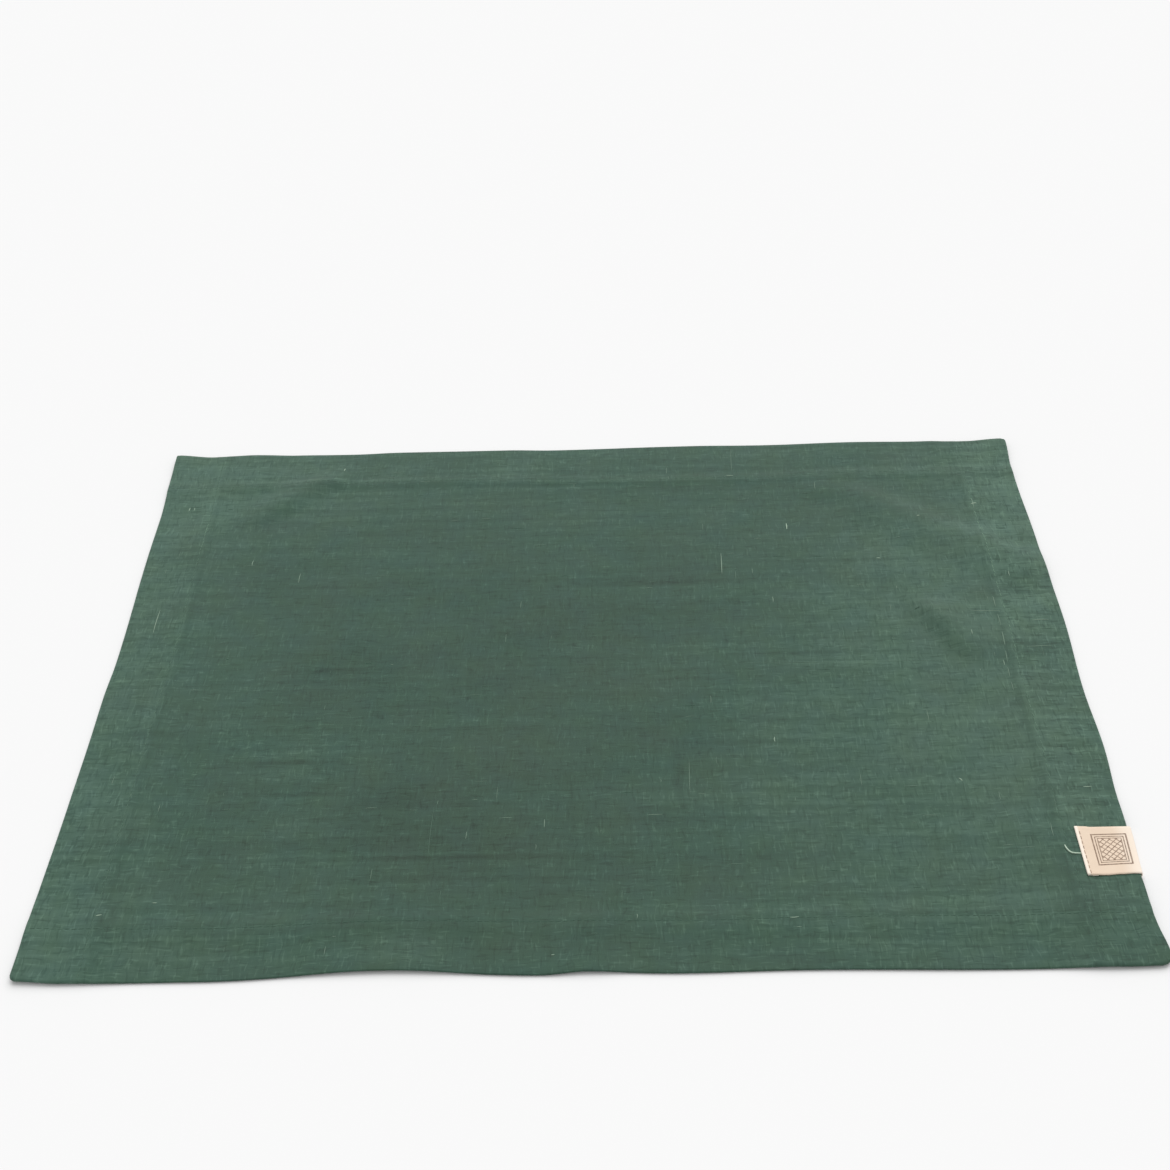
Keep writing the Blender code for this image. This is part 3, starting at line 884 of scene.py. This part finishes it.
# thick places that stand out of the weave: from where to where, half their width, how pale
slubs = rowsOf(
    "x y toX toY half pale",
    (66, 65.5, 66.4, 82.5, 0.20, 0.55), (76, 149, 76.6, 172, 0.16, 0.22),
    (101, 100.6, 101, 105.8, 0.28, 0.95), (-170.6, 79.8, -170.4, 84.6, 0.22, 0.45),
    (-145, 65.5, -145, 73.5, 0.20, 0.36), (-211.2, 29, -210.8, 47, 0.24, 0.50),
    (89.5, 43.4, 89.5, 48, 0.22, 0.42), (83, -51.2, 83, -48, 0.28, 0.58),
    (-18, -99.4, -18, -94.6, 0.20, 0.38), (44.2, -82, 44.6, -62, 0.16, 0.24),
    (-66, -117, -65.6, -86, 0.14, 0.10), (71, 0.6, 118, 0, 0.15, 0.12), (122, 0.2, 168, -0.5, 0.15, 0.10),
    (195.0, 44, 194.9, 36, 0.30, 0.26), (194.8, 31, 194.7, 22, 0.28, 0.22),
    (194.7, 18, 194.5, 8, 0.32, 0.26), (194.2, 5, 193.8, -3, 0.28, 0.22),
    (193.4, -6, 193.3, -13, 0.28, 0.22), (193.3, -16, 193.3, -22, 0.26, 0.20),
    (182, 33.5, 197, 33, 0.20, 0.34), (204, 7.5, 216, 8, 0.20, 0.34),
    (197.4, 117.4, 200.6, 118, 0.42, 0.68), (198.5, 113.5, 198.9, 122.5, 0.22, 0.38),
    (143.6, 76, 145.6, 75.8, 0.34, 0.58), (160.0, -75.0, 161.2, -76.8, 0.30, 0.65),
    (-198, -143.3, -195.6, -142.7, 0.34, 0.58), (211.6, -81.8, 215.4, -81.8, 0.26, 0.62),
    (-132.8, 158.9, -132.5, 161.4, 0.32, 0.74), (-210.8, 126.2, -210.6, 129, 0.28, 0.66),
    (-208.4, 126.4, -208.4, 129, 0.24, 0.55), (80.8, -149.9, 84.8, -149.6, 0.28, 0.50),
    (180.5, 15, 180.5, 18.5, 0.24, 0.48), (167.7, 106.4, 169.4, 106.8, 0.34, 0.62),
    (205.6, 57.6, 205.6, 61.4, 0.24, 0.42), (72.3, 147, 76.5, 146.6, 0.26, 0.54),
    (192.2, -5, 192.2, -1, 0.24, 0.40), (20.3, -149.4, 20.3, -146.6, 0.26, 0.26),
    (-177, -136.4, -174.8, -136.4, 0.28, 0.45), (-13.6, -165.8, -12.2, -165.6, 0.28, 0.45),
    (210, 26.3, 218, 26.3, 0.18, 0.45),
)
slubScatter = {
    "count": 220,
    "border": 8,
    "length": (1.6, 8.0),
    "alongWeft": 0.55,  # share of them, and the rest along the warp
    "askew": 0.02,
    "halfWidth": 0.16,
    "uneven": (0.7, 1.2),
    "palest": 0.34,
}
slubShape = {"rings": 12, "bend": 0.14, "tip": 0.15, "blunt": 0.7, "flat": 0.6, "sunk": 0.05, "rise": 0.07}


def makeSlubs(material, random):
    # the listed slubs and a scatter of small ones, each a spindle that lies on the face
    plan, shape = slubScatter, slubShape
    count, askew = plan["count"], plan["askew"]
    starts, ends = valuesOf(slubs, "x y").T, valuesOf(slubs, "toX toY").T
    halves = np.array([halfWidth, halfDepth]) - plan["border"]
    middle = random.uniform(-1, 1, (count, 2)) * halves
    length = random.uniform(*plan["length"], (count, 1))
    step = np.where(random.random((count, 1)) < plan["alongWeft"], (1.0, askew), (askew, 1.0)) * length / 2
    starts, ends = np.concatenate([starts, middle - step]), np.concatenate([ends, middle + step])
    width, pale = valuesOf(slubs, "half pale")
    width = np.concatenate([width, plan["halfWidth"] * random.uniform(*plan["uneven"], count)])
    pale = np.concatenate([pale, plan["palest"] * random.random(count) ** 2])
    share = np.linspace(0, 1, shape["rings"])
    path = starts[:, None] + (ends - starts)[:, None] * share[:, None]
    bend = random.normal(0, shape["bend"], (len(path), 1)) * np.sin(np.pi * share)
    upright = np.abs(ends - starts)[:, 1] > np.abs(ends - starts)[:, 0]
    path = path + bend[..., None] * np.where(upright[:, None], (1.0, 0.0), (0.0, 1.0))[:, None]
    thick = shape["tip"] + (1 - shape["tip"]) * np.sin(np.pi * share) ** shape["blunt"]
    path = faceAt(path[..., 0], path[..., 1])
    path[..., 2] = path[..., 2] - shape["sunk"] + shape["rise"] * thick
    wide = width[:, None] * thick
    return makeThreads("slubs", material, path, wide, shape["flat"] * wide, pale[:, None])


def ribbonLevel(x, y, turnedUnder):
    # height of the middle of the label's ribbon where it lies on the mat, over its turned-under end
    start, reach = labelPlan["endStep"]
    height = faceAt(x - labelEdge(y) + halfWidth, y)[..., 2] + labelPlan["gap"] + labelPlan["thickness"] / 2
    overEnd = 1 - ease((x - labelPlan["endX"] - labelPlan["turnedEnd"] + start) / reach)
    return height + (labelPlan["layerRise"] * overEnd if turnedUnder else 0)


def labelEdge(y):
    # where the mat's right edge lies under the label
    return outlineAt(np.full(np.shape(y), halfWidth), y)[0]


def labelLine(y, edge):
    # the ribbon's middle line, seen from the near side: it starts at the lower turned-in end, runs out
    # below the mat, turns up round its edge in a rounded square bend, comes back over the hem and is
    # turned under at the sewn end. Each part is a grid of places X and heights Z, with a column for each y
    plan, rows = labelPlan, labelPlan["rows"]
    half, small, bow = plan["thickness"] / 2, plan["layerRise"] / 2, plan["bendReach"]
    lower = plan["lowerLift"] + half + 0 * y
    upper = ribbonLevel(edge - bow, y, True)
    lowerTurn, upperTurn = plan["lowerEndX"] + half + small, plan["endX"] + half + small
    turn = np.linspace(0, np.pi, rows["turn"])[:, None]
    outwards, upwards = small * np.sin(turn), small * (1 + np.cos(turn))
    run = np.linspace(plan["lowerEndX"] + plan["turnedEnd"], lowerTurn, rows["end"])[:-1, None] + 0 * y
    parts = [(run, lower + 2 * small + 0 * run), (lowerTurn - outwards + 0 * y, lower + upwards)]
    run = np.linspace(0, 1, rows["lower"])[1:-1, None] * (edge - bow - lowerTurn) + lowerTurn
    parts.append((run, lower + 0 * run))
    bend = np.linspace(0, np.pi, rows["bend"])[:, None]
    bulge = np.abs(np.sin(bend)) ** plan["squareness"]
    climb = -np.sign(np.cos(bend)) * np.abs(np.cos(bend)) ** plan["squareness"]
    parts.append((edge - bow * (1 - bulge), (lower + upper) / 2 + (upper - lower) / 2 * climb))
    run = edge - bow + np.linspace(0, 1, rows["upper"])[1:-1, None] * (upperTurn - edge + bow)
    parts.append((run, ribbonLevel(run, y + 0 * run, True)))
    end = ribbonLevel(upperTurn + 0 * y, y, False)
    parts.append((upperTurn - outwards + 0 * y, end + upwards))
    run = np.linspace(upperTurn, plan["endX"] + plan["turnedEnd"], rows["end"])[1:, None] + 0 * y
    parts.append((run, ribbonLevel(run, y + 0 * run, False)))
    fold = sum(len(part[0]) for part in parts[:5]) + rows["turn"] // 2
    return np.concatenate([part[0] for part in parts]), np.concatenate([part[1] for part in parts]), fold


def labelGrids():
    # the ribbon's two sides, half its thickness off its middle line both ways, how far along it each row
    # lies, and how far from its folded end and from its centre line each row and column
    plan = labelPlan
    off = np.linspace(-0.5, 0.5, plan["linesAcross"]) * plan["width"]
    y = plan["centreY"] + off
    edge = labelEdge(y) + np.linspace(*plan["edgeGap"], len(y)) + plan["thickness"] / 2
    x, z, fold = labelLine(y, edge)
    aheadX, aheadZ = np.gradient(x, axis=0), np.gradient(z, axis=0)
    thin = plan["thickness"] / 2 / np.hypot(aheadX, aheadZ)
    frayed = plan["selvedge"] * smoothNoise(x, y + 0 * x, plan["selvedgePitch"], 31)
    askew = ease((x - plan["endX"]) / (edge - plan["endX"])) * (0.5 - off / plan["width"])
    wide = y + frayed * np.abs(off) / (plan["width"] / 2) + plan["nearRise"] * askew
    sides = [np.stack([x + k * thin * aheadZ, wide, z - k * thin * aheadX], -1) for k in (1, -1)]
    run = np.concatenate([[0], np.cumsum(np.hypot(np.diff(x, axis=0), np.diff(z, axis=0)).mean(1))])
    return sides, run, run[fold] - run, off


def makeLabel(material):
    (outer, inner), run, u, v = labelGrids()
    points, faces = closeSheet(outer, inner)
    uv = np.stack(np.broadcast_arrays(u[:, None], v[None, :]), -1).reshape(-1, 2)
    label = makePiece("ribbonLabel", points, faces, material, np.tile(uv, (2, 1)))
    return label, run[-1]


labelSeam = {
    "inset": 1.5,
    "lowerInset": 2.1,
    "endRoom": (1.5, 1.3),  # from the ribbon's near and far side to the row of stitches
    "pitch": 2.6,
    "halfLength": (0.95, 1.22),
    "sway": 0.05,
    "rise": 0.03,
    "dip": 0.12,
    "lowerDrop": 0.005,
    "halfWidth": 0.15,
    "halfHeight": 0.07,
    "pale": (0.0, 0.7),
}


def makeLabelStitches(material, random):
    # one row of brown stitches through both ends, above and below
    plan = labelSeam
    low = labelPlan["centreY"] - labelPlan["width"] / 2 + plan["endRoom"][0]
    high = labelPlan["centreY"] + labelPlan["width"] / 2 - plan["endRoom"][1]
    middle = np.arange(low, high, plan["pitch"])[:, None]
    y = middle + stitchRings * random.uniform(*plan["halfLength"], middle.shape)
    x = labelPlan["endX"] + plan["inset"] + random.normal(0, plan["sway"], middle.shape) + 0 * y
    sunk = plan["dip"] * (1 - stitchThickness)
    top = ribbonLevel(x, y, True) + labelPlan["thickness"] / 2 + plan["rise"] - sunk
    bottom = labelPlan["lowerLift"] - plan["lowerDrop"] + 0 * y + sunk
    below = x + plan["lowerInset"] - plan["inset"]
    paths = np.concatenate([np.stack([x, y, top], -1), np.stack([below, y, bottom], -1)])
    wide, high = plan["halfWidth"] * stitchThickness, plan["halfHeight"] * stitchThickness
    pale = random.uniform(*plan["pale"], (len(paths), 1))
    return makeThreads("labelStitches", material, paths, wide, high, pale)


# the sewing thread's loose end: places on the mat, height above its face, half its thickness
threadEnd = rowsOf(
    "x y above half",
    (203.2, -120.0, 0.10, 0.25),
    (200.4, -120.1, 0.14, 0.34),
    (198.7, -119.9, 0.22, 0.35),
    (197.8, -119.3, 0.30, 0.35),
    (197.0, -118.2, 0.42, 0.34),
    (196.5, -117.1, 0.60, 0.29),
    (196.2, -116.1, 0.75, 0.20),
)
threadEndPlan = {"points": 36, "around": 10, "flat": 0.9, "pale": (0.3, 1)}


def makeThreadEnd(material):
    plan = threadEndPlan
    x, y, above, half = smoothPath(valuesOf(threadEnd, "x y above half").T, plan["points"]).T
    face = faceAt(x - labelEdge(y) + halfWidth, y)
    path = np.stack([x, y, face[..., 2] + above], -1)[None]
    pale = np.linspace(*plan["pale"], x.size)
    return makeThreads("looseThreadEnd", material, path, half, half * plan["flat"], pale, plan["around"])


def triangleCount(piece):
    piece.data.calc_loop_triangles()
    return len(piece.data.loop_triangles)


# an even white room, and a wide soft window behind the mat, a little to the right
lightPlan = {"sky": 0.70, "window": 1.96, "height": 50, "toRight": 8, "wide": 60}  # angles in degrees


tableReach = 6.0  # metres, from its middle to each side


def makeStage():
    floorMaterial, shader, _ = startMaterial("paleTable")
    fillInputs(shader, {"Base Color": linearColour("#e8e8e8"), "Roughness": 0.9, "Specular IOR Level": 0.0})
    mesh = bpy.data.meshes.new("table")
    corners = [(x * tableReach, y * tableReach, 0) for x, y in ((-1, -1), (1, -1), (1, 1), (-1, 1))]
    mesh.from_pydata(corners, [], [(0, 1, 2, 3)])
    mesh.materials.append(floorMaterial)
    table = addObject("table", mesh)
    world = bpy.data.worlds.new("softRoom")
    bpy.context.scene.world = world
    world.use_nodes = True
    fillInputs(world.node_tree.nodes["Background"], {"Color": (1, 1, 1, 1), "Strength": lightPlan["sky"]})
    light = bpy.data.lights.new("windowBehind", "SUN")
    light.energy = lightPlan["window"]
    light.angle = np.radians(lightPlan["wide"])
    aim = Euler((np.radians(lightPlan["height"] - 90), 0, np.radians(-lightPlan["toRight"])))
    addObject("windowBehind", light).rotation_euler = aim
    bpy.context.scene.view_settings.view_transform = "Standard"


def makeCamera():
    camera = bpy.data.cameras.new("photographCamera")
    camera.sensor_width, camera.lens = cameraPlan["sensor"], cameraPlan["lens"]
    camera.clip_start, camera.clip_end = 0.01, 20
    holder = addObject("photographCamera", camera)
    x, y, z = cameraPlan["place"]
    holder.location = ((x + middleX) / metre, (y + middleY) / metre, z / metre)
    aim = Euler((np.radians(90 - cameraPlan["pitch"]), 0, np.radians(cameraPlan["yaw"]))).to_matrix()
    holder.rotation_euler = (aim @ Matrix.Rotation(np.radians(cameraPlan["roll"]), 3, "Z")).to_euler()
    bpy.context.scene.camera = holder


makeCamera()
makeStage()
print("camera, table and lights are in place")

random = np.random.default_rng(7)
mat = makeMat(linenMaterial())
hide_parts("mat")
print("mat:", triangleCount(mat), "triangles")
label, ribbonLength = makeLabel(ribbonMaterial())
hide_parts("label")
print("label:", triangleCount(label), "triangles, ribbon length", round(float(ribbonLength), 1), "mm")
seams = makeSeams(threadMaterial("greenSewingThread"), random)
slubPiece = makeSlubs(threadMaterial("palerSlubFibre"), random)
labelStitches = makeLabelStitches(threadMaterial("brownSewingThread"), random)
looseEnd = makeThreadEnd(threadMaterial("mintThreadEnd"))
for piece in (mat, label, seams, slubPiece, labelStitches, looseEnd):
    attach(piece, "root")
for piece in (seams, slubPiece, labelStitches, looseEnd):
    print(piece.name + ":", triangleCount(piece), "triangles")
